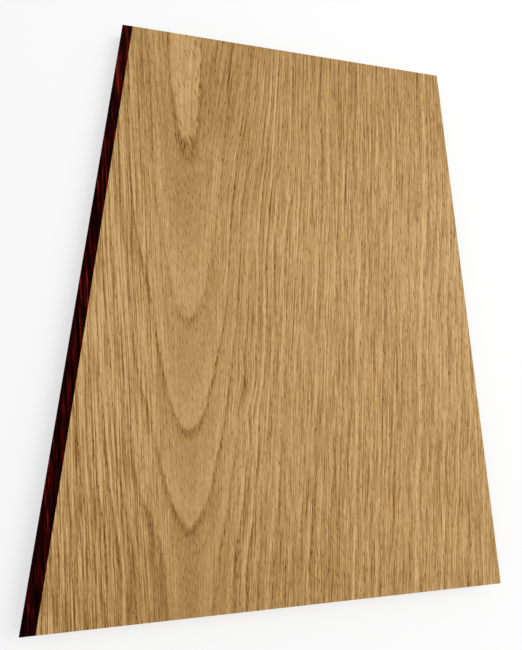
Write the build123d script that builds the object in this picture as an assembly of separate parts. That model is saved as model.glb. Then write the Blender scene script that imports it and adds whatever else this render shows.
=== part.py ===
from build123d import *
import os

# A decorative wall panel, lying face up. An MDF board carries an oak veneer on
# its face, and a dark hardwood lipping is glued along its left long edge. The
# lipping is flush with the veneer in front and with the bare board behind.
# Sizes are in millimetres. X runs across the panel, Y runs along the grain,
# and Z points out of the oak face.

# Board
PANEL_LENGTH = 600.0
BOARD_WIDTH = 400.0
BOARD_THICKNESS = 16.0

# Face veneer
VENEER_THICKNESS = 0.6

# Lipping
LIPPING_WIDTH = 12.0
ARRIS_RADIUS = 1.2

# Sizes that follow from these
PANEL_WIDTH = BOARD_WIDTH + LIPPING_WIDTH
PANEL_THICKNESS = BOARD_THICKNESS + VENEER_THICKNESS
LEFT_SIDE = -PANEL_WIDTH / 2
GLUE_LINE = LEFT_SIDE + LIPPING_WIDTH
BOARD_CENTRE = GLUE_LINE + BOARD_WIDTH / 2


def sheet(thickness, underside):
    """Return a flat sheet as wide as the board, with its underside at a height."""
    with BuildPart() as piece:
        with BuildSketch(Plane.XY.offset(underside)):
            with Locations((BOARD_CENTRE, 0)):
                Rectangle(BOARD_WIDTH, PANEL_LENGTH)
        extrude(amount=thickness)
    return piece.part


def make_board():
    """Return the plain MDF board, from the back of the panel to the glued veneer."""
    return sheet(BOARD_THICKNESS, 0)


def make_veneer():
    """Return the oak veneer, cut to the board and stopped at the lipping."""
    return sheet(VENEER_THICKNESS, BOARD_THICKNESS)


def make_lipping():
    """Return the hardwood lipping: a moulding with its two outer arrises rounded."""
    arris = min(ARRIS_RADIUS, 0.45 * min(LIPPING_WIDTH, PANEL_THICKNESS))
    with BuildPart() as piece:
        with BuildSketch(Plane.XZ.offset(-PANEL_LENGTH / 2)) as section:
            with Locations((LEFT_SIDE + LIPPING_WIDTH / 2, PANEL_THICKNESS / 2)):
                Rectangle(LIPPING_WIDTH, PANEL_THICKNESS)
            fillet(section.vertices().group_by(Axis.X)[0], radius=arris)
        extrude(amount=PANEL_LENGTH)
    return piece.part


os.makedirs("parts", exist_ok=True)
export_step(make_board(), "parts/mdf_board.step")
export_step(make_veneer(), "parts/oak_veneer.step")
export_step(make_lipping(), "parts/hardwood_lipping.step")
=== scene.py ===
import logging
import math
from dataclasses import dataclass, field, fields
from enum import Enum
from typing import ClassVar, Sequence

import bmesh
import bpy
from mathutils import Matrix, Vector, noise


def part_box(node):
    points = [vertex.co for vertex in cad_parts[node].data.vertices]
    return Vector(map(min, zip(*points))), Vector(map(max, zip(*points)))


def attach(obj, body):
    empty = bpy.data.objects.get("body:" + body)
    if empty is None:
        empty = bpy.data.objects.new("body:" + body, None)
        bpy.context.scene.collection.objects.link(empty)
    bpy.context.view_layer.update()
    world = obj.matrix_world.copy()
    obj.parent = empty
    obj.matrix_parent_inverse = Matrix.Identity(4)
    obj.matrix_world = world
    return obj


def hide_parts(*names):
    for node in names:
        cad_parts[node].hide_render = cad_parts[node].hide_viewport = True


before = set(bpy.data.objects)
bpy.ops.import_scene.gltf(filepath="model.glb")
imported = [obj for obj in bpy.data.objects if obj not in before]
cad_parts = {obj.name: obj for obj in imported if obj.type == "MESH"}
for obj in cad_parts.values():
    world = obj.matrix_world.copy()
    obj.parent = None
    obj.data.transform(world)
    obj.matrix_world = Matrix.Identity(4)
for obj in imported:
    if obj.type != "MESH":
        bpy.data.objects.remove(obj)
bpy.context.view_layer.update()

LOG = logging.getLogger("wall_panel")

MM = 0.001
TOUCH = 0.01 * MM
BODY = "root"
FIGURE_MAP = "figure"
RING_LAYER = "ring"
SLOPE_LAYER = "slope"

Colour = tuple[float, float, float]
Stops = tuple[tuple[float, Colour], ...]
Span = tuple[float, float]


class Node(Enum):
    """The pieces of the panel, by the names of their nodes."""

    BOARD = "mdf_board"
    VENEER = "oak_veneer"
    LIPPING = "hardwood_lipping"


class Slot(Enum):
    """The record's material slots."""

    MDF = "mdf"
    OAK = "oak"
    DARK_HARDWOOD = "dark_hardwood"


def linear(red: float, green: float, blue: float) -> Colour:
    """Turn a display colour into the linear one that shaders use.

    Args:
        red: Red, from 0 to 255.
        green: Green, from 0 to 255.
        blue: Blue, from 0 to 255.

    Returns:
        The linear colour, each channel from 0 to 1.
    """
    def channel(value: float) -> float:
        """Return one channel in linear light."""
        share = value / 255
        return share / 12.92 if share <= 0.04045 else ((share + 0.055) / 1.055) ** 2.4

    return channel(red), channel(green), channel(blue)


@dataclass(frozen=True)
class Rise:
    """A soft rise from 0 to 1 over a stretch of the wood.

    Attributes:
        start: Where it starts, in metres.
        run: How much further on it is complete, in metres.
    """

    start: float
    run: float

    def at(self, place: float) -> float:
        """Return how far the rise has come at a place, from 0 to 1."""
        share = min(max((place - self.start) / self.run, 0.0), 1.0)
        return share * share * (3 - 2 * share)


@dataclass(frozen=True)
class Sway:
    """A slow, aimless bending of the grain.

    Attributes:
        reach: How far it bends at most, in metres.
        width: The size of one bend across the grain, in metres.
        length: The size of one bend along the grain, in metres.
        layer: A number that sets this sway apart from the others.
    """

    reach: float
    width: float
    length: float
    layer: float


@dataclass(frozen=True)
class Blotch:
    """One layer of noise in a finish.

    Attributes:
        lengths: How long one blotch is along each direction, in millimetres.
        detail: How many finer layers are added.
        roughness: How strong the finer layers are.
    """

    lengths: tuple[float, float, float]
    detail: float = 1.0
    roughness: float = 0.5


@dataclass(frozen=True)
class Streak:
    """One layer of streaks that run with the grain.

    Attributes:
        seed: A number that sets this layer apart from the others.
        width: How wide one streak is, in millimetres.
        length: How long one streak is, in millimetres.
        detail: How many finer layers are added.
        stagger: How much further along a streak starts than its neighbour, in streaks.
    """

    seed: float
    width: float
    length: float
    detail: float = 0.0
    stagger: float = 0.62


class Wire:
    """One value in a node tree, which takes part in sums as a number does."""

    def __init__(self, sheet: "NodeSheet", source: bpy.types.NodeSocket) -> None:
        """Keep the node sheet and the socket that the value comes from."""
        self.sheet = sheet
        self.source = source

    def __add__(self, other: "Wire | float") -> "Wire":
        """Return the sum."""
        return self.sheet.math("ADD", self, other)

    def __radd__(self, other: float) -> "Wire":
        """Return the sum."""
        return self.sheet.math("ADD", self, other)

    def __sub__(self, other: "Wire | float") -> "Wire":
        """Return the difference."""
        return self.sheet.math("SUBTRACT", self, other)

    def __rsub__(self, other: float) -> "Wire":
        """Return a number less this value."""
        return self.sheet.math("SUBTRACT", other, self)

    def __mul__(self, other: "Wire | float") -> "Wire":
        """Return the product."""
        return self.sheet.math("MULTIPLY", self, other)

    def __rmul__(self, other: float) -> "Wire":
        """Return the product."""
        return self.sheet.math("MULTIPLY", self, other)

    def fraction(self) -> "Wire":
        """Return what is left over the whole number below."""
        return self.sheet.math("FRACT", self)

    def whole(self) -> "Wire":
        """Return the whole number below."""
        return self.sheet.math("FLOOR", self)

    def size(self) -> "Wire":
        """Return the value without its sign."""
        return self.sheet.math("ABSOLUTE", self)

    def power(self, exponent: float) -> "Wire":
        """Return the value raised to a power."""
        return self.sheet.math("POWER", self, exponent)


class NodeSheet:
    """The node tree of a material or a world, with short ways to add what a finish needs."""

    def __init__(self, owner: bpy.types.Material | bpy.types.World) -> None:
        """Empty the owner's node tree.

        Args:
            owner: The material or the world that the nodes are for.
        """
        owner.use_nodes = True
        self.owner = owner
        self.tree = owner.node_tree
        self.tree.nodes.clear()

    def add(self, kind: str, **settings: object) -> bpy.types.Node:
        """Add a node.

        Args:
            kind: The node's type.
            **settings: Properties to set on it.

        Returns:
            The new node.
        """
        node = self.tree.nodes.new(kind)
        for name, value in settings.items():
            setattr(node, name, value)
        return node

    def feed(self, socket: bpy.types.NodeSocket, value: object) -> None:
        """Give an input its value.

        Args:
            socket: The input.
            value: A wire or a socket to link to it, or a number or a colour to set on it.
        """
        if isinstance(value, Wire):
            value = value.source
        if isinstance(value, bpy.types.NodeSocket):
            self.tree.links.new(value, socket)
        elif isinstance(value, tuple) and socket.type == "RGBA":
            socket.default_value = (*value, 1.0)
        else:
            socket.default_value = value

    def math(self, operation: str, *values: "Wire | float") -> Wire:
        """Add a math node.

        Args:
            operation: What the node works out.
            *values: The one to three values that it works on.

        Returns:
            The node's result.
        """
        node = self.add("ShaderNodeMath", operation=operation)
        for socket, value in zip(node.inputs, values):
            self.feed(socket, value)
        return Wire(self, node.outputs[0])

    def split(self, vector: bpy.types.NodeSocket) -> tuple[Wire, Wire, Wire]:
        """Take a place apart.

        Args:
            vector: The place, in metres.

        Returns:
            Its three parts, in millimetres.
        """
        parts = self.add("ShaderNodeSeparateXYZ")
        self.feed(parts.inputs[0], vector)
        return tuple(Wire(self, part) * (1 / MM) for part in parts.outputs)

    def place(self) -> tuple[Wire, Wire, Wire]:
        """Return the place on the piece, along X, Y and Z, in millimetres."""
        coordinates = self.add("ShaderNodeTexCoord")
        return self.split(coordinates.outputs["Object"])

    def facing_up(self) -> Wire:
        """Find how much the surface lies level.

        Returns:
            A share from 0 on an upright edge to 1 on the face or the back.
        """
        geometry = self.add("ShaderNodeNewGeometry")
        parts = self.add("ShaderNodeSeparateXYZ")
        self.feed(parts.inputs[0], geometry.outputs["True Normal"])
        return Wire(self, parts.outputs[2]).size()

    def attribute(self, name: str) -> Wire:
        """Return a number that the mesh holds at its vertices, by its layer's name."""
        node = self.add("ShaderNodeAttribute", attribute_name=name)
        return Wire(self, node.outputs["Fac"])

    def figure_map(self) -> tuple[Wire, Wire]:
        """Read the UV map of the grain's figure.

        Returns:
            The place across and along the grain, in millimetres.
        """
        node = self.add("ShaderNodeUVMap", uv_map=FIGURE_MAP)
        across, along, _ = self.split(node.outputs["UV"])
        return across, along

    def grain(self, place: Sequence["Wire | float"], blotch: Blotch) -> Wire:
        """Add a noise that is drawn out by its own length along each direction.

        Args:
            place: The place along three directions, in millimetres.
            blotch: The size and the detail of the noise.

        Returns:
            The noise, about 0.5 in the middle.
        """
        spot = self.add("ShaderNodeCombineXYZ")
        for socket, value, length in zip(spot.inputs, place, blotch.lengths):
            self.feed(socket, value if length == 1.0 else value * (1 / length))
        cloud = self.add("ShaderNodeTexNoise", noise_dimensions="3D")
        self.feed(cloud.inputs["Vector"], spot.outputs[0])
        self.feed(cloud.inputs["Scale"], 1.0)
        self.feed(cloud.inputs["Detail"], blotch.detail)
        self.feed(cloud.inputs["Roughness"], blotch.roughness)
        return Wire(self, cloud.outputs[0])

    def streaks(self, figure: tuple[Wire, Wire], streak: Streak) -> Wire:
        """Add a noise that is drawn out along the grain.

        Each streak starts a little further along than the one beside it, so that
        the noise's cells don't line up in rows across the grain.

        Args:
            figure: The place across and along the grain, in millimetres.
            streak: The size and the seed of the streaks.

        Returns:
            The noise, from about -0.3 to 0.3.
        """
        across = figure[0] * (1 / streak.width)
        along = figure[1] * (1 / streak.length) + across * streak.stagger
        return self.grain((across, along, streak.seed), Blotch((1.0, 1.0, 1.0), streak.detail)) - 0.5

    def chance(self, number: Wire) -> Wire:
        """Draw a value afresh for each different number.

        Args:
            number: The number to draw for.

        Returns:
            A value from 0 to 1.
        """
        node = self.add("ShaderNodeTexWhiteNoise", noise_dimensions="1D")
        self.feed(node.inputs["W"], number)
        return Wire(self, node.outputs["Value"])

    def step(self, value: Wire, start: "Wire | float", end: "Wire | float") -> Wire:
        """Let a value rise softly from 0 to 1.

        Args:
            value: The value to look at.
            start: The value up to which the result is 0.
            end: The value from which the result is 1.

        Returns:
            A share from 0 to 1.
        """
        node = self.add("ShaderNodeMapRange", interpolation_type="SMOOTHSTEP")
        self.feed(node.inputs["Value"], value)
        self.feed(node.inputs["From Min"], start)
        self.feed(node.inputs["From Max"], end)
        return Wire(self, node.outputs["Result"])

    def hump(
        self,
        value: Wire,
        rise: "tuple[Wire | float, Wire | float]",
        fall: "tuple[Wire | float, Wire | float]",
    ) -> Wire:
        """Let a value rise softly from 0 to 1 and fall back to 0.

        Args:
            value: The value to look at.
            rise: Where the rise starts and ends.
            fall: Where the fall starts and ends.

        Returns:
            A share from 0 to 1.
        """
        return self.step(value, *rise) * (1.0 - self.step(value, *fall))

    def ramp(self, value: Wire, stops: Stops) -> bpy.types.NodeSocket:
        """Look a colour up on a ramp.

        Args:
            value: The place on the ramp, from 0 to 1.
            stops: The ramp's places and their colours.

        Returns:
            The colour.
        """
        node = self.add("ShaderNodeValToRGB")
        band = node.color_ramp
        while len(band.elements) < len(stops):
            band.elements.new(0.5)
        for element, (position, colour) in zip(band.elements, stops):
            element.position = position
            element.color = (*colour, 1.0)
        self.feed(node.inputs["Fac"], value)
        return node.outputs["Color"]

    def relief(self, height: Wire, depth: float) -> bpy.types.NodeSocket:
        """Turn a height into fine relief.

        Args:
            height: The height, about 0 to 1.
            depth: How far the surface rises over a height of 1, in metres.

        Returns:
            The normal of the surface.
        """
        node = self.add("ShaderNodeBump")
        self.feed(node.inputs["Height"], height)
        self.feed(node.inputs["Distance"], depth)
        return node.outputs["Normal"]

    def surface(
        self,
        colour: bpy.types.NodeSocket,
        roughness: Wire,
        normal: bpy.types.NodeSocket,
        gloss: float,
    ) -> bpy.types.Material:
        """Close the sheet with a surface shader.

        Args:
            colour: The base colour.
            roughness: The roughness.
            normal: The surface's normal, with its relief.
            gloss: The strength of the reflection seen straight on.

        Returns:
            The finished material.
        """
        shader = self.add("ShaderNodeBsdfPrincipled")
        self.feed(shader.inputs["Base Color"], colour)
        self.feed(shader.inputs["Roughness"], roughness)
        self.feed(shader.inputs["Normal"], normal)
        self.feed(shader.inputs["Specular IOR Level"], gloss)
        output = self.add("ShaderNodeOutputMaterial")
        self.feed(output.inputs["Surface"], shader.outputs[0])
        return self.owner


@dataclass(frozen=True)
class GrainFan:
    """How the grain spreads over the panel.

    The lines of the grain aren't parallel to the long edges. They spread towards
    the top of the panel and lean away from the crown, so both edges cut them.
    """

    scale_across: float = 0.984
    scale_along: float = 0.966
    widening_along: float = 0.687
    widening_across: float = 0.455
    crown_shift: float = -0.0095
    figure_shift: float = 0.0143
    lean: float = -0.047

    def place(self, x: float, y: float) -> tuple[float, float]:
        """Find a place in the wood's own figure.

        Args:
            x: The place across the panel, in metres.
            y: The place along the panel, in metres.

        Returns:
            The place across and along the grain, in metres.
        """
        spread = 1 + self.widening_across * x + self.widening_along * y
        across = (self.scale_across * x + self.crown_shift) / spread
        along = (self.scale_along * y + self.lean * x + self.figure_shift) / spread
        return across, along


@dataclass(frozen=True)
class OakLog:
    """The growth rings of the log, as the flat cut meets them.

    The cut runs beside the pith and drifts away from it towards the foot of the
    panel, so it leaves each ring in a rounded tip, one above the other. Lengths
    are in metres, and what moves a tip up or down is counted in rings.
    """

    # The rings, the line of their tips and the pith behind it.
    ring_pitch: float = 0.0081
    first_ring: float = 0.195
    crown: float = -0.1190
    crown_drift: float = -0.0053
    crown_reach: float = 0.045
    pith_depth: float = 0.0646
    pith_drift: float = -0.0527
    pith_bow: float = 0.077
    foot_bend: float = 0.0078
    foot: Rise = Rise(0.272, 0.140)

    # The shape of the tips: blunt at the head, sharp at the foot.
    tip_width: float = 0.009
    tongue_drop: float = 0.052
    blunt_tip: float = 0.072
    blunt: Rise = Rise(0.040, 0.080)
    sharp_tip: float = 0.12
    sharp: Rise = Rise(0.140, 0.120)

    # Rings that stand wider left of the crown, and narrower right of it at the head.
    wide_side: float = 0.18
    wide: Rise = Rise(0.030, 0.030)
    pinch: float = 0.26
    pinch_head: Rise = Rise(0.165, 0.080)
    pinch_near: Rise = Rise(0.0, 0.006)
    pinch_far: Rise = Rise(0.020, 0.030)

    # How the fibres are drawn towards the crown, and lean out at the head.
    pull: float = 0.06
    pull_near: float = 0.035
    pull_far: float = 0.160
    head_lean: float = 0.085
    head_start: float = 0.090
    head_softness: float = 0.03
    head_far: Rise = Rise(0.070, 0.060)
    head_rings: Rise = Rise(0.018, 0.035)
    head_fibres: Rise = Rise(-0.010, 0.075)

    # The knurl, a small swirl right of the crown.
    knurl_side: float = 0.061
    knurl_along: float = -0.120
    knurl_width: float = 0.014
    knurl_length: float = 0.055
    knurl_bend: float = 0.0027
    knurl_wave: float = 0.013

    # What is irregular in the growth.
    fibre_sway: Sway = Sway(0.0022, 0.09, 0.16, 1.0)
    fibre_ripple: Sway = Sway(0.0005, 0.02, 0.05, 2.0)
    ring_sway: Sway = Sway(0.0044, 0.07, 0.13, 3.0)
    ring_ripple: Sway = Sway(0.0018, 0.022, 0.055, 4.0)
    ring_quiver: Sway = Sway(0.0007, 0.008, 0.020, 5.0)
    calm_side: float = 0.6
    uneven_rings: float = 0.8
    uneven_pace: float = 0.55
    uneven_seed: tuple[float, float] = (0.3, 7.7)
    seed: tuple[float, float, float] = (3.7, 1.9, 8.2)

    def _wander(self, sway: Sway, across: float, along: float) -> float:
        """Return how far a sway bends the grain at a place, in metres."""
        spot = Vector((across / sway.width, along / sway.length, sway.layer)) + Vector(self.seed)
        return sway.reach * noise.noise(spot)

    def side(self, across: float, along: float) -> float:
        """Return how far a place lies from the crown's own line, across the grain."""
        return across - self.crown - self.crown_drift * along

    def slope(self, across: float, along: float) -> float:
        """Return how steeply the rings meet the face, from 0 on the crown towards 1 beside it."""
        side = self.side(across, along)
        return abs(side) / math.hypot(side, self.crown_reach)

    def _head_shift(self, side: float, along: float, near: Rise) -> float:
        """Find how far a line right of the crown leans out towards the head of the panel.

        Args:
            side: The line's distance from the crown.
            along: The place along the grain.
            near: The distances from the crown over which lines take up the lean.

        Returns:
            The shift across the grain.
        """
        share = near.at(side) * (1 - self.head_far.at(side))
        rise = along - self.head_start
        return self.head_lean * 0.5 * (rise + math.hypot(rise, self.head_softness)) * share

    def _knurl_shift(self, side: float, along: float) -> float:
        """Find how far the grain bends aside in the knurl.

        Args:
            side: The distance from the crown.
            along: The place along the grain.

        Returns:
            The shift across the grain.
        """
        off = (side - self.knurl_side) / self.knurl_width
        rise = along - self.knurl_along
        fade = math.exp(-off * off - (rise / self.knurl_length) ** 2)
        return self.knurl_bend * math.sin(rise / self.knurl_wave) * fade

    def fibre(self, across: float, along: float) -> float:
        """Find which fibre runs through a place.

        Args:
            across: The place across the grain.
            along: The place along the grain.

        Returns:
            The fibre's own place across the grain, the same all along it.
        """
        side = self.side(across, along)
        drawn = side / math.hypot(side, self.pull_near) * math.exp(-((side / self.pull_far) ** 2))
        shift = self.pull * along * drawn + self._head_shift(side, along, self.head_fibres)
        shift += self._knurl_shift(side, along)
        sway = self._wander(self.fibre_sway, across, along)
        ripple = self._wander(self.fibre_ripple, across, along)
        return across - shift + sway + ripple

    def ring(self, across: float, along: float) -> float:
        """Count the rings from the pith, on through each ring.

        Args:
            across: The place across the grain.
            along: The place along the grain.

        Returns:
            The ring number. A new ring starts at each whole number.
        """
        side = self.side(across, along)
        slope = self.slope(across, along)
        wide = self.wide.at(-side)
        sway = slope * self._wander(self.ring_sway, across, along)
        ripple = self._wander(self.ring_ripple, across, along)
        quiver = self._wander(self.ring_quiver, across, along)
        bend = self._head_shift(side, along, self.head_rings) + self._knurl_shift(side, along)
        side += sway + (ripple + quiver) * (1 - self.calm_side * wide) - bend
        side *= 1 - self.wide_side * wide
        right_of_crown = self.pinch_near.at(side) * (1 - self.pinch_far.at(side))
        side *= 1 + self.pinch * self.pinch_head.at(along) * right_of_crown

        depth = self.pith_depth + self.pith_drift * along + self.pith_bow * along * along
        depth -= self.foot_bend * self.foot.at(-along)
        blunt = self.blunt.at(along)
        tip = self.blunt_tip * blunt - self.sharp_tip * self.sharp.at(-along)
        count = math.hypot(side, depth) / self.ring_pitch - self.first_ring
        count += tip * math.exp(-((side / self.tip_width) ** 2)) - self.tongue_drop * blunt
        uneven = noise.noise(Vector((count * self.uneven_pace, *self.uneven_seed)))
        return count + self.uneven_rings * slope * slope * uneven


@dataclass(frozen=True)
class OakPlaces:
    """The parts of the panel on which the oak looks different, each a share from 0 to 1.

    Attributes:
        slope: Beside the crown, where the rings stand steeper in the face.
        tip: On the crown itself, where the rings end in their tips.
        low: The lower part of the panel.
        low_tip: The tips in the lower part.
        right: The side away from the crown.
        flank: The left edge, beyond the crown figure.
        quiet: The upper part of that edge.
        tongue: The innermost tip, at the head of the panel.
        dusk: A darker streak right of the tongue.
    """

    slope: Wire
    tip: Wire
    low: Wire
    low_tip: Wire
    right: Wire
    flank: Wire
    quiet: Wire
    tongue: Wire
    dusk: Wire


@dataclass(frozen=True)
class Weight:
    """How strongly something shows: a base, and what each part of the panel adds to it."""

    base: float
    slope: float = 0.0
    low: float = 0.0
    right: float = 0.0
    low_tip: float = 0.0
    flank: float = 0.0
    quiet: float = 0.0
    tongue: float = 0.0

    def over(self, places: OakPlaces) -> Wire:
        """Work the weight out over the whole panel.

        Args:
            places: The parts of the panel.

        Returns:
            The weight at each spot.
        """
        total = self.base
        for part in fields(self)[1:]:
            amount = getattr(self, part.name)
            if amount:
                total = total + amount * getattr(places, part.name)
        return total


@dataclass(frozen=True)
class RingBands:
    """The bands that each ring has.

    Attributes:
        core: The porous band that the ring starts with, from 0 to 1.
        early: The same band, as strong as it shows in this ring and at this spot.
        tone: What all the bands together add to the tone.
    """

    core: Wire
    early: Wire
    tone: Wire


@dataclass(frozen=True)
class OakDrawing:
    """What every part of the oak finish draws on.

    Attributes:
        sheet: The material's nodes.
        figure: The place across and along the grain, in millimetres.
        places: The parts of the panel.
        flecks: The shortest streaks of the grain.
        hairs: The finest of its long streaks.
    """

    sheet: NodeSheet
    figure: tuple[Wire, Wire]
    places: OakPlaces
    flecks: Wire
    hairs: Wire

    def streaks(self, streak: Streak) -> Wire:
        """Return one more layer of streaks, from about -0.3 to 0.3."""
        return self.sheet.streaks(self.figure, streak)


@dataclass(frozen=True)
class OakFinish:
    """Flat-cut oak under a clear satin lacquer.

    Each ring starts with a dark, porous band that fades into pale, dense wood.
    The pores run with the fibres, as short dashes. Beside the crown the rings
    stand steeper in the face, and there the grain is finer and stronger.
    """

    name: str = "satin_oak"
    gloss: float = 0.14
    tones: Stops = (
        (0.0, linear(100, 61, 10)),
        (0.25, linear(132, 92, 36)),
        (0.5, linear(163, 123, 67)),
        (0.75, linear(192, 152, 95)),
        (1.0, linear(222, 182, 126)),
    )
    base_tone: float = 0.787

    # The parts of the panel. The tip's span is one of slopes, the others are
    # in millimetres across or along the figure.
    tip_span: Span = (0.05, 0.35)
    low_span: Span = (120.0, 260.0)
    right_span: Span = (-40.0, 120.0)
    flank_span: Span = (125.0, 165.0)
    quiet_span: Span = (20.0, 160.0)
    tongue_span: Span = (140.0, 170.0)
    dusk_line: float = -103.0
    dusk_width: Span = (5.0, 12.0)
    dusk_span: Span = (150.0, 185.0)

    # How ragged the rings' edges are, and how much one ring differs from the next.
    ragged: Streak = Streak(11.0, 1.3, 7.0, detail=1.0)
    ragged_reach: Weight = Weight(0.13, slope=0.13)
    ragged_side: Weight = Weight(1.0, flank=-0.6)
    ring_seed: float = 569.0
    least_vigour: float = 0.25
    mood: Streak = Streak(8.0, 34.0, 120.0)
    mood_share: float = 1.6

    # The porous band, and how it is broken up along the grain.
    core_rise: Weight = Weight(0.04, low=0.06)
    core_width: Weight = Weight(0.11, slope=0.17)
    core_low: Weight = Weight(1.0, low=0.7)
    core_fade: float = 0.3
    patch: Streak = Streak(5.0, 6.0, 80.0, detail=1.0)
    breaks: Streak = Streak(17.0, 1.2, 9.0, detail=1.0)
    broken_base: float = 0.8
    broken_share: float = 1.6
    breaks_side: Weight = Weight(1.0, flank=-0.7)
    broken_side: Weight = Weight(1.0, right=-0.5)
    tip_crispness: float = 0.35
    early_dark: float = 0.21

    # The rest of the ring. Spans are in parts of a ring, a rise and then a fall.
    shoulder_span: Span = (0.05, 0.95)
    shoulder_side: Weight = Weight(1.0, slope=-0.6)
    shoulder_dark: float = 0.09
    second_spans: tuple[Span, Span] = ((0.40, 0.46), (0.50, 0.66))
    second_dark: float = 0.16
    pale_span: Span = (0.45, 0.92)
    pale_side: Weight = Weight(1.0, slope=-0.5)
    pale_patch: float = 1.8
    pale_light: float = 0.055
    ribbon_seed: float = 31.0
    ribbon_spans: tuple[Span, Span] = ((0.66, 0.80), (0.92, 1.0))
    ribbon_rarity: float = 2.0
    ribbon_light: float = 0.18
    ribbon_patch: float = 0.3

    # The pores, which are denser in the porous band.
    dashes: Streak = Streak(21.0, 1.0, 6.5)
    pore_edge: Weight = Weight(0.16, low_tip=-0.04)
    pore_crowding: float = 0.10
    pore_blur: float = 0.08
    pore_dark: float = 0.30
    pore_dark_in_core: float = 0.12

    # The short lines of the grain.
    flecks: Streak = Streak(26.0, 1.15, 6.5)
    fleck_tone: Weight = Weight(0.37, slope=-0.11, tongue=-0.11)
    darts: Streak = Streak(29.0, 1.15, 17.0, stagger=-0.62)
    dart_tone: Weight = Weight(0.10, slope=0.25, tongue=0.14)
    short_side: Weight = Weight(1.0, flank=0.15, right=0.30)

    # The long lines of the grain, and the sharp dark ones among them.
    hairs: Streak = Streak(31.0, 1.3, 40.0)
    hair_tone: float = 0.44
    threads: Streak = Streak(36.0, 1.6, 105.0, stagger=-0.62)
    thread_tone: float = 0.48
    stripes: Streak = Streak(41.0, 3.6, 140.0)
    stripe_tone: Weight = Weight(0.12, flank=0.14, right=-0.06)
    long_slope: Weight = Weight(0.24, slope=0.90, tongue=0.30)
    long_side: Weight = Weight(1.0, flank=0.8, quiet=-0.6, right=-0.10)
    pen_span: Span = (0.08, 0.20)
    pen_side: Weight = Weight(1.0, flank=-0.9)
    pen_dark: float = 0.12

    # What is lighter or darker over a larger area. The span of the edge beside
    # the lipping is in millimetres across the panel itself.
    clouds: Streak = Streak(51.0, 60.0, 200.0)
    cloud_tone: float = 0.10
    foot_span: Span = (150.0, 400.0)
    foot_dark: Weight = Weight(0.10, right=-0.05, low_tip=0.07, flank=0.06)
    head_span: Span = (40.0, 300.0)
    head_dark: float = 0.12
    left_span: Span = (-60.0, 300.0)
    left_dark: float = 0.03
    right_dark: float = 0.02
    dusk_dark: float = 0.07
    edge_span: Span = (-190.0, -172.0)
    edge_light: float = 0.035
    knurl_middle: tuple[float, float] = (-56.0, -108.0)
    knurl_size: tuple[float, float] = (3.6, 24.0)
    knurl_span: Span = (0.2, 1.0)
    knurl_dark: float = 0.17
    knurl_flecks: float = 0.5

    # The sheen and the fine relief.
    roughness: float = 0.45
    pore_roughness: float = 0.25
    early_roughness: float = 0.1
    pore_depth: float = 0.8
    early_depth: float = 0.4
    hair_height: float = 0.5
    relief_depth: float = 0.05 * MM

    def make(self) -> bpy.types.Material:
        """Make the finish.

        Returns:
            The oak material.
        """
        sheet = NodeSheet(bpy.data.materials.new(self.name))
        figure = sheet.figure_map()
        places = self._places(sheet, figure)
        flecks = sheet.streaks(figure, self.flecks)
        hairs = sheet.streaks(figure, self.hairs)
        oak = OakDrawing(sheet, figure, places, flecks, hairs)

        bands = self._bands(oak)
        pores = self._pores(oak, bands.early)
        tone = self.base_tone + bands.tone - pores * (self.pore_dark + self.pore_dark_in_core * bands.core)
        tone = tone + self._short_lines(oak) + self._long_lines(oak) + self._areas(oak)
        colour = sheet.ramp(tone, self.tones)
        roughness = self.roughness + pores * self.pore_roughness + bands.early * self.early_roughness
        height = 1.0 - pores * self.pore_depth - bands.early * self.early_depth + hairs * self.hair_height
        normal = sheet.relief(height, self.relief_depth)
        return sheet.surface(colour, roughness, normal, self.gloss)

    def _places(self, sheet: NodeSheet, figure: tuple[Wire, Wire]) -> OakPlaces:
        """Find the parts of the panel.

        Args:
            sheet: The material's nodes.
            figure: The place across and along the grain, in millimetres.

        Returns:
            The parts of the panel.
        """
        across, along = figure
        slope = sheet.attribute(SLOPE_LAYER)
        tip = 1.0 - sheet.step(slope, *self.tip_span)
        low = sheet.step(along * -1.0, *self.low_span)
        flank = sheet.step(across * -1.0, *self.flank_span)
        off_dusk = (across - self.dusk_line).size()
        return OakPlaces(
            slope=slope,
            tip=tip,
            low=low,
            low_tip=low * tip,
            right=sheet.step(across, *self.right_span),
            flank=flank,
            quiet=flank * sheet.step(along, *self.quiet_span),
            tongue=tip * sheet.step(along, *self.tongue_span),
            dusk=(1.0 - sheet.step(off_dusk, *self.dusk_width)) * sheet.step(along, *self.dusk_span),
        )

    def _bands(self, oak: OakDrawing) -> RingBands:
        """Draw the bands of the rings.

        Args:
            oak: What the finish draws on.

        Returns:
            The bands.
        """
        sheet, places = oak.sheet, oak.places
        ragged = oak.streaks(self.ragged) * self.ragged_reach.over(places)
        rings = sheet.attribute(RING_LAYER) + ragged * self.ragged_side.over(places)
        phase = rings.fraction()
        luck = sheet.chance(rings.whole() + self.ribbon_seed)
        drawn = sheet.chance(rings.whole() + self.ring_seed)
        vigour = self.least_vigour + (1.0 - self.least_vigour) * drawn
        vigour = vigour * (1.0 + self.mood_share * oak.streaks(self.mood))

        patch = oak.streaks(self.patch)
        breaks = oak.streaks(self.breaks) * self.breaks_side.over(places)
        broken = self.broken_base + self.broken_share * patch + self.broken_share * breaks
        broken = broken * self.broken_side.over(places)
        width = self.core_width.over(places) * self.core_low.over(places)
        core = sheet.hump(phase, (0.0, self.core_rise.over(places)), (width * self.core_fade, width))
        crisp = 1.0 + self.tip_crispness * places.tip * (1.0 - places.low)
        early = core * vigour * (1.0 - places.dusk) * broken * crisp

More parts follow.
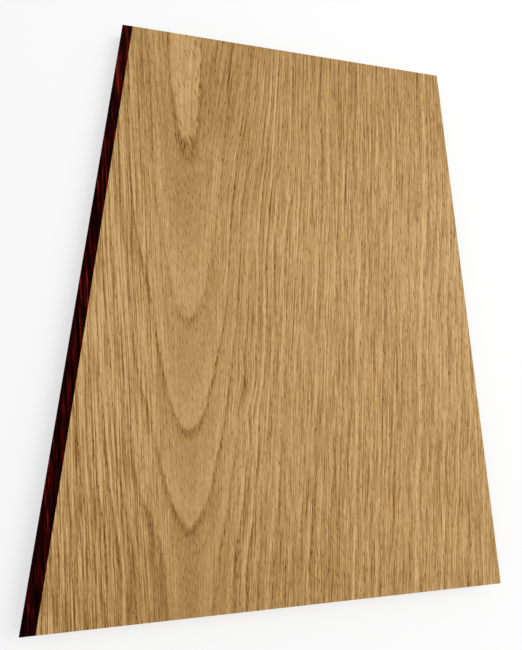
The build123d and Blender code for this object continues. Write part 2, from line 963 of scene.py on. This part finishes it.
        shoulder = (1.0 - sheet.step(phase, *self.shoulder_span)) * self.shoulder_side.over(places)
        second = sheet.hump(phase, *self.second_spans) * places.slope * broken
        pale = sheet.step(phase, *self.pale_span) * self.pale_side.over(places)
        pale = pale * (1.0 - self.pale_patch * patch)
        ribbon = sheet.hump(phase, *self.ribbon_spans) * luck.power(self.ribbon_rarity) * places.slope
        dark = early * self.early_dark + shoulder * vigour * self.shoulder_dark
        dark = dark + second * luck * self.second_dark
        light = pale * self.pale_light + ribbon * (self.ribbon_light + self.ribbon_patch * patch)
        return RingBands(core=core, early=early, tone=light - dark)

    def _pores(self, oak: OakDrawing, early: Wire) -> Wire:
        """Draw the pores.

        Args:
            oak: What the finish draws on.
            early: The porous band, in which they crowd.

        Returns:
            A share from 0 between the pores to 1 in them.
        """
        edge = self.pore_edge.over(oak.places) - early * self.pore_crowding
        return oak.sheet.step(oak.streaks(self.dashes), edge, edge + self.pore_blur)

    def _short_lines(self, oak: OakDrawing) -> Wire:
        """Draw the short lines of the grain.

        Args:
            oak: What the finish draws on.

        Returns:
            What the short lines add to the tone.
        """
        flecks = oak.flecks * self.fleck_tone.over(oak.places)
        darts = oak.streaks(self.darts) * self.dart_tone.over(oak.places)
        return (flecks + darts) * self.short_side.over(oak.places)

    def _long_lines(self, oak: OakDrawing) -> Wire:
        """Draw the long lines of the grain, and the sharp dark ones.

        Args:
            oak: What the finish draws on.

        Returns:
            What the long lines add to the tone.
        """
        places = oak.places
        long = oak.hairs * self.hair_tone + oak.streaks(self.threads) * self.thread_tone
        long = long + oak.streaks(self.stripes) * self.stripe_tone.over(places)
        long = long * self.long_slope.over(places) * self.long_side.over(places)
        pens = oak.sheet.step(oak.hairs * -1.0, *self.pen_span) * places.slope
        return long - pens * self.pen_side.over(places) * self.pen_dark

    def _areas(self, oak: OakDrawing) -> Wire:
        """Shade the larger areas.

        Args:
            oak: What the finish draws on.

        Returns:
            What the areas add to the tone.
        """
        sheet, places = oak.sheet, oak.places
        across, along = oak.figure
        x, _, _ = sheet.place()
        knurl_across = (across - self.knurl_middle[0]) * (1 / self.knurl_size[0])
        knurl_along = (along - self.knurl_middle[1]) * (1 / self.knurl_size[1])
        off_knurl = (knurl_across * knurl_across + knurl_along * knurl_along).power(0.5)
        knurl = 1.0 - sheet.step(off_knurl, *self.knurl_span)
        foot = sheet.step(along * -1.0, *self.foot_span) * self.foot_dark.over(places)
        head = sheet.step(along, *self.head_span) * places.slope * self.head_dark
        left = sheet.step(across * -1.0, *self.left_span) * self.left_dark
        edge = 1.0 - sheet.step(x, *self.edge_span)
        dark = foot + head + left + places.right * self.right_dark + places.dusk * self.dusk_dark
        dark = dark + knurl * (self.knurl_dark - self.knurl_flecks * oak.flecks)
        return oak.streaks(self.clouds) * self.cloud_tone + edge * self.edge_light - dark


@dataclass(frozen=True)
class DarkHardwoodFinish:
    """A near-black hardwood with maroon and red streaks, oiled to a low sheen."""

    name: str = "dark_hardwood"
    gloss: float = 0.01
    tones: Stops = (
        (0.0, linear(6, 0, 0)),
        (0.42, linear(22, 1, 1)),
        (0.62, linear(44, 3, 2)),
        (0.8, linear(84, 12, 7)),
        (1.0, linear(126, 30, 16)),
    )
    base_tone: float = 0.47
    streaks: Blotch = Blotch((2.6, 60.0, 3.0), detail=2.0, roughness=0.6)
    streak_tone: float = 2.2
    threads: Blotch = Blotch((0.9, 22.0, 1.2))
    thread_tone: float = 0.9
    thread_height: float = 0.3
    vessels: Blotch = Blotch((0.6, 7.0, 0.6))
    vessel_span: Span = (0.64, 0.72)
    vessel_dark: float = 0.2
    roughness: float = 0.5
    vessel_roughness: float = 0.2
    relief_depth: float = 0.04 * MM

    def make(self) -> bpy.types.Material:
        """Make the finish.

        Returns:
            The lipping's material.
        """
        sheet = NodeSheet(bpy.data.materials.new(self.name))
        across, along = sheet.figure_map()
        _, _, height = sheet.place()
        place = (across, along, height)

        streaks = sheet.grain(place, self.streaks)
        threads = sheet.grain(place, self.threads)
        vessels = sheet.step(sheet.grain(place, self.vessels), *self.vessel_span)
        tone = (streaks - 0.5) * self.streak_tone + (threads - 0.5) * self.thread_tone
        tone = tone + self.base_tone - vessels * self.vessel_dark
        colour = sheet.ramp(tone, self.tones)
        roughness = self.roughness + vessels * self.vessel_roughness
        normal = sheet.relief(1.0 - vessels + threads * self.thread_height, self.relief_depth)
        return sheet.surface(colour, roughness, normal, self.gloss)


@dataclass(frozen=True)
class BareMdfFinish:
    """Bare fibreboard: sanded and speckled on its back, coarser and darker on its sawn edges."""

    # The board's thickness, in millimetres.
    thickness: float

    name: str = "bare_mdf"
    gloss: float = 0.15
    tones: Stops = (
        (0.0, linear(104, 76, 48)),
        (0.5, linear(158, 123, 84)),
        (1.0, linear(201, 168, 125)),
    )

    # The noises of the board.
    specks: Blotch = Blotch((0.7, 0.7, 0.7), detail=2.0, roughness=0.6)
    fibres: Blotch = Blotch((2.2, 2.2, 0.6), detail=2.0, roughness=0.65)
    clouds: Blotch = Blotch((45.0, 45.0, 45.0), detail=2.0)
    saw_marks: Blotch = Blotch((1.4, 1.4, 30.0))

    # The sanded back.
    face_tone: float = 0.62
    face_specks: float = 0.5
    face_fibres: float = 0.3
    face_clouds: float = 0.3

    # The sawn edges, which are looser in the middle of the board's thickness.
    edge_tone: float = 0.42
    edge_specks: float = 0.7
    edge_fibres: float = 0.9
    edge_saw: float = 0.25
    loose_span: Span = (0.1, 0.7)
    loose_light: float = 0.16

    # The sheen and the fine relief.
    roughness: float = 0.72
    loose_roughness: float = 0.15
    speck_height: float = 0.5
    relief_depth: float = 0.09 * MM

    def make(self) -> bpy.types.Material:
        """Make the finish.

        Returns:
            The board's material.
        """
        sheet = NodeSheet(bpy.data.materials.new(self.name))
        place = sheet.place()
        face = sheet.facing_up()
        edge = 1.0 - face
        specks = sheet.grain(place, self.specks)
        fibres = sheet.grain(place, self.fibres)
        clouds = sheet.grain(place, self.clouds)
        saw = sheet.grain(place, self.saw_marks) - 0.5
        middle = 1.0 - (place[2] * (2 / self.thickness) - 1.0).size()
        loose = sheet.step(middle, *self.loose_span) * edge

        face_tone = self.face_tone + (specks - 0.5) * self.face_specks
        face_tone = face_tone + (fibres - 0.5) * self.face_fibres + (clouds - 0.5) * self.face_clouds
        edge_tone = self.edge_tone + (specks - 0.5) * self.edge_specks
        edge_tone = edge_tone + (fibres - 0.5) * self.edge_fibres
        edge_tone = edge_tone + loose * self.loose_light + saw * self.edge_saw
        colour = sheet.ramp(face_tone * face + edge_tone * edge, self.tones)
        roughness = self.roughness + loose * self.loose_roughness
        height = specks * self.speck_height + fibres * edge + saw * edge
        normal = sheet.relief(height, self.relief_depth)
        return sheet.surface(colour, roughness, normal, self.gloss)


def finish_mesh(name: str, shape: bmesh.types.BMesh, material: bpy.types.Material) -> bpy.types.Object:
    """Turn a finished shape into a piece of the scene.

    Args:
        name: The piece's name.
        shape: The shape, which is used up.
        material: The piece's finish.

    Returns:
        The new object, at the origin.
    """
    mesh = bpy.data.meshes.new(name)
    shape.to_mesh(mesh)
    shape.free()
    mesh.materials.append(material)
    piece = bpy.data.objects.new(name, mesh)
    bpy.context.scene.collection.objects.link(piece)
    return piece


def install(piece: bpy.types.Object, node: Node) -> None:
    """Put a piece in the place of a node, on the panel's one body.

    Args:
        piece: The piece.
        node: The node that it stands for.
    """
    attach(piece, BODY)
    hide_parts(node.value)
    LOG.info("%s: %d faces, for %s", piece.name, len(piece.data.polygons), node.value)


def lay_figure(shape: bmesh.types.BMesh, fan: GrainFan, log: OakLog) -> None:
    """Write the grain's own coordinates on every corner of a shape, as a UV map.

    Args:
        shape: The shape.
        fan: How the grain spreads over the panel.
        log: The log that the wood comes from.
    """
    layer = shape.loops.layers.uv.new(FIGURE_MAP)
    for face in shape.faces:
        for loop in face.loops:
            across, along = fan.place(loop.vert.co.x, loop.vert.co.y)
            loop[layer].uv = (log.fibre(across, along), along)


def round_edges(
    shape: bmesh.types.BMesh, edges: Sequence[bmesh.types.BMEdge], radius: float, steps: int
) -> None:
    """Round some edges of a shape.

    Args:
        shape: The shape.
        edges: The edges to round.
        radius: How far the rounding reaches, in metres.
        steps: How many faces it has.
    """
    bmesh.ops.bevel(
        shape,
        geom=edges,
        offset=radius,
        segments=steps,
        profile=0.5,
        affect="EDGES",
        material=-1,
    )


@dataclass
class PanelPiece:
    """One piece of the panel, which takes its size from its node."""

    NODE: ClassVar[Node]

    low: Vector = field(init=False)
    high: Vector = field(init=False)

    def __post_init__(self) -> None:
        """Read the two corners of the node's box."""
        self.low, self.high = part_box(self.NODE.value)

    def block(self) -> bmesh.types.BMesh:
        """Make a square-edged block.

        Returns:
            A shape that fills the node's box.
        """
        shape = bmesh.new()
        bmesh.ops.create_cube(shape, size=1)
        bmesh.ops.scale(shape, vec=self.high - self.low, verts=shape.verts)
        bmesh.ops.translate(shape, vec=(self.high + self.low) / 2, verts=shape.verts)
        return shape


@dataclass
class VeneerFace(PanelPiece):
    """The oak veneer: a thin sheet whose face sinks a little along the porous bands."""

    NODE: ClassVar[Node] = Node.VENEER

    fan: GrainFan
    log: OakLog
    columns: int = 440
    rows: int = 170
    band_depth: float = 0.06 * MM
    band_rise: float = 0.12
    band_end: float = 0.7
    arris: float = 0.15 * MM

    def band(self, count: float) -> float:
        """Find how deep in the porous band a ring number lies.

        Args:
            count: The ring number.

        Returns:
            A share from 0 outside the band to 1 in its deepest line.
        """
        phase = count % 1.0
        rise = min(phase / self.band_rise, 1.0)
        fall = max(0.0, 1.0 - phase / self.band_end)
        return rise * fall

    def _sheet(self) -> bmesh.types.BMesh:
        """Make the flat sheet.

        Returns:
            A closed shape with a fine grid for its face.
        """
        shape = bmesh.new()
        bmesh.ops.create_grid(shape, x_segments=self.columns, y_segments=self.rows, size=0.5)
        size = self.high - self.low
        middle = (self.high + self.low) / 2
        bmesh.ops.scale(shape, vec=(size.x, size.y, 1), verts=shape.verts)
        bmesh.ops.translate(shape, vec=(middle.x, middle.y, self.high.z), verts=shape.verts)
        rim = [edge for edge in shape.edges if edge.is_boundary]
        walls = bmesh.ops.extrude_edge_only(shape, edges=rim)["geom"]
        foot = [part for part in walls if isinstance(part, bmesh.types.BMVert)]
        bmesh.ops.translate(shape, vec=(0, 0, -size.z), verts=foot)
        bmesh.ops.holes_fill(shape, edges=[edge for edge in shape.edges if edge.is_boundary], sides=0)
        bmesh.ops.recalc_face_normals(shape, faces=shape.faces)
        return shape

    def _mark_rings(self, shape: bmesh.types.BMesh) -> None:
        """Write the rings on the sheet's vertices, and sink its face along them.

        Args:
            shape: The flat sheet.
        """
        middle = (self.high + self.low) / 2
        ring = shape.verts.layers.float.new(RING_LAYER)
        slope = shape.verts.layers.float.new(SLOPE_LAYER)
        for vert in shape.verts:
            spot = self.fan.place(vert.co.x, vert.co.y)
            count = self.log.ring(*spot)
            vert[ring] = count
            vert[slope] = self.log.slope(*spot)
            inside = min(vert.co.x - self.low.x, self.high.x - vert.co.x,
                         vert.co.y - self.low.y, self.high.y - vert.co.y)
            if vert.co.z > middle.z and inside > self.arris:
                vert.co.z -= self.band_depth * self.band(count)

    def build(self) -> bpy.types.Object:
        """Make the veneer.

        Returns:
            The sheet, with its ring numbers and its figure map.
        """
        shape = self._sheet()
        self._mark_rings(shape)
        lay_figure(shape, self.fan, self.log)
        return finish_mesh("oak_face", shape, OakFinish().make())


@dataclass
class Board(PanelPiece):
    """The fibreboard, with the sharpness just off its free arrises."""

    NODE: ClassVar[Node] = Node.BOARD

    arris: float = 0.35 * MM
    arris_steps: int = 3

    def _is_free(self, edge: bmesh.types.BMEdge) -> bool:
        """Tell whether an edge lies away from the veneer and the lipping.

        Args:
            edge: One edge of the board.

        Returns:
            True for a free edge.
        """
        on_face = all(vert.co.z > self.high.z - TOUCH for vert in edge.verts)
        on_lipping = all(vert.co.x < self.low.x + TOUCH for vert in edge.verts)
        return not on_face and not on_lipping

    def build(self) -> bpy.types.Object:
        """Make the board.

        Returns:
            The board, bare on its back and its edges.
        """
        shape = self.block()
        free = [edge for edge in shape.edges if self._is_free(edge)]
        round_edges(shape, free, self.arris, self.arris_steps)
        finish = BareMdfFinish(thickness=(self.high.z - self.low.z) / MM)
        return finish_mesh("board", shape, finish.make())


@dataclass
class Lipping(PanelPiece):
    """The dark hardwood strip, with its two outer arrises rounded."""

    NODE: ClassVar[Node] = Node.LIPPING

    fan: GrainFan
    log: OakLog
    arris: float = 1.2 * MM
    arris_steps: int = 8
    bays: int = 120

    def _is_outer(self, edge: bmesh.types.BMEdge) -> bool:
        """Tell whether an edge runs along the outer side of the strip.

        Args:
            edge: One edge of the strip.

        Returns:
            True for one of the two long outer edges.
        """
        first, second = edge.verts
        outside = all(vert.co.x < self.low.x + TOUCH for vert in edge.verts)
        return outside and abs(first.co.y - second.co.y) > self.arris

    def build(self) -> bpy.types.Object:
        """Make the strip.

        Returns:
            The strip, cut into short bays so that its figure can follow the grain.
        """
        shape = self.block()
        outer = [edge for edge in shape.edges if self._is_outer(edge)]
        round_edges(shape, outer, self.arris, self.arris_steps)
        length = self.high.y - self.low.y
        for bay in range(1, self.bays):
            bmesh.ops.bisect_plane(
                shape,
                geom=[*shape.verts, *shape.edges, *shape.faces],
                plane_co=(0, self.low.y + length * bay / self.bays, 0),
                plane_no=(0, 1, 0),
            )
        lay_figure(shape, self.fan, self.log)
        return finish_mesh("lipping", shape, DarkHardwoodFinish().make())


@dataclass
class Studio:
    """A pale floor, a pale sky and soft light from above."""

    floor_reach: float = 12.0
    floor_colour: float = 0.52
    floor_lift: float = 0.50
    far_lift: float = 0.68
    far_span: Span = (1500.0, 5000.0)
    sky_light: float = 0.62
    sky_shown: float = 1.0
    lamp_place: tuple[float, float, float] = (1.9, 0.6, 1.8)
    lamp_size: float = 1.6
    lamp_power: float = 34.0

    def build(self) -> None:
        """Make the floor, the sky and the lamp."""
        self._floor()
        self._sky()
        self._lamp()

    @staticmethod
    def _seen(sheet: NodeSheet) -> Wire:
        """Find where the camera sees something, straight on, reflected or through glass.

        Args:
            sheet: The nodes of what is seen.

        Returns:
            1 where the camera sees it, and 0 where it only lights the scene.
        """
        path = sheet.add("ShaderNodeLightPath")
        camera = Wire(sheet, path.outputs["Is Camera Ray"])
        glossy = Wire(sheet, path.outputs["Is Glossy Ray"])
        through = Wire(sheet, path.outputs["Is Transmission Ray"])
        return sheet.math("MINIMUM", camera + glossy + through, 1.0)

    def _floor(self) -> None:
        """Make the floor, which shows white and keeps the panel's shadow."""
        shape = bmesh.new()
        bmesh.ops.create_grid(shape, x_segments=1, y_segments=1, size=self.floor_reach)
        sheet = NodeSheet(bpy.data.materials.new("floor_white"))
        matt = sheet.add("ShaderNodeBsdfDiffuse")
        sheet.feed(matt.inputs["Color"], (self.floor_colour,) * 3)
        x, y, _ = sheet.place()
        away = sheet.step((x * x + y * y).power(0.5), *self.far_span)
        glow = self.floor_lift + (self.far_lift - self.floor_lift) * away
        lift = sheet.add("ShaderNodeEmission")
        sheet.feed(lift.inputs["Strength"], self._seen(sheet) * glow)
        both = sheet.add("ShaderNodeAddShader")
        sheet.feed(both.inputs[0], matt.outputs[0])
        sheet.feed(both.inputs[1], lift.outputs[0])
        output = sheet.add("ShaderNodeOutputMaterial")
        sheet.feed(output.inputs["Surface"], both.outputs[0])
        floor = finish_mesh("floor", shape, sheet.owner)

    def _sky(self) -> None:
        """Make the even light of the sky, which shows white."""
        world = bpy.data.worlds.new("pale_sky")
        bpy.context.scene.world = world
        sheet = NodeSheet(world)
        background = sheet.add("ShaderNodeBackground")
        strength = self.sky_light + (self.sky_shown - self.sky_light) * self._seen(sheet)
        sheet.feed(background.inputs["Strength"], strength)
        sheet.feed(background.inputs["Color"], (1.0, 1.0, 1.0))
        output = sheet.add("ShaderNodeOutputWorld")
        sheet.feed(output.inputs["Surface"], background.outputs[0])

    def _lamp(self) -> None:
        """Make the one soft lamp."""
        data = bpy.data.lights.new("soft_lamp", "AREA")
        data.shape = "DISK"
        data.size = self.lamp_size
        data.energy = self.lamp_power
        lamp = bpy.data.objects.new("soft_lamp", data)
        bpy.context.scene.collection.objects.link(lamp)
        lamp.location = self.lamp_place
        lamp.rotation_mode = "QUATERNION"
        lamp.rotation_quaternion = (-Vector(self.lamp_place)).to_track_quat("-Z", "Y")


@dataclass
class Viewpoint:
    """The camera: close above the panel, left of its middle and below it."""

    place: tuple[float, float, float] = (-0.0548, -0.1118, 0.3735)
    aim: tuple[float, float, float] = (0.0097, -0.0143, 0.0166)
    lens: float = 19.385
    sensor_width: float = 36.0
    shift_across: float = -0.0585
    shift_up: float = -0.0605
    nearest: float = 0.01
    farthest: float = 100.0

    def build(self) -> None:
        """Make the camera and look through it."""
        data = bpy.data.cameras.new("camera")
        data.lens = self.lens
        data.sensor_width = self.sensor_width
        data.shift_x = self.shift_across
        data.shift_y = self.shift_up
        data.clip_start = self.nearest
        data.clip_end = self.farthest
        camera = bpy.data.objects.new("camera", data)
        bpy.context.scene.collection.objects.link(camera)
        camera.location = self.place
        back = (Vector(self.place) - Vector(self.aim)).normalized()
        right = Vector((0, 1, 0)).cross(back).normalized()
        up = back.cross(right)
        camera.rotation_mode = "QUATERNION"
        camera.rotation_quaternion = Matrix((right, up, back)).transposed().to_quaternion()
        bpy.context.scene.camera = camera


def main() -> None:
    """Build the panel and its studio."""
    logging.basicConfig(level=logging.INFO, format="%(name)s: %(message)s")
    view = bpy.context.scene.view_settings
    view.view_transform = "Standard"
    fan = GrainFan()
    log = OakLog()
    install(VeneerFace(fan, log).build(), Node.VENEER)
    install(Board().build(), Node.BOARD)
    install(Lipping(fan, log).build(), Node.LIPPING)
    Studio().build()
    Viewpoint().build()


if __name__ == "__main__":
    main()
